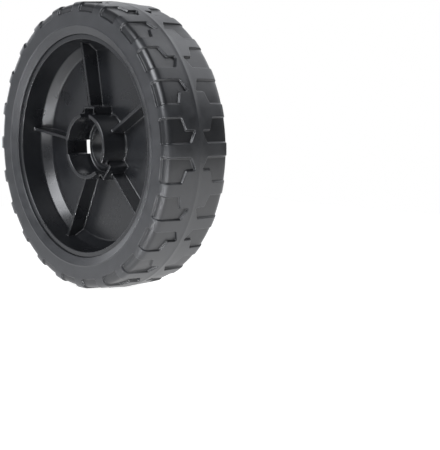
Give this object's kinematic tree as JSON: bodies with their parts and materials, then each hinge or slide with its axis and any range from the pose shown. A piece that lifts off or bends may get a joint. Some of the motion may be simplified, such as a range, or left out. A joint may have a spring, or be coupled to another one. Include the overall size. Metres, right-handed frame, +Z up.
{
  "type": "lawn mower wheel",
  "caption": "Lawn mower wheel: a ribbed one-piece plastic rim with a keyed open hub, carrying a solid rubber tyre with sawtooth lugs over both shoulders.",
  "frame": {"origin": "middle of the wheel, on the axle line in the middle of the tread", "axes": "+Y along the axle from the ribbed outer face to the inner face, +Z up"},
  "size_m": [0.2046, 0.0548, 0.2046],
  "materials": {
    "rim": "glossy moulded",
    "tyre": "matt moulded"
  },
  "bodies": {
    "root": {"rim": "rim", "tyre": "tyre"}
  },
  "joints": []
}
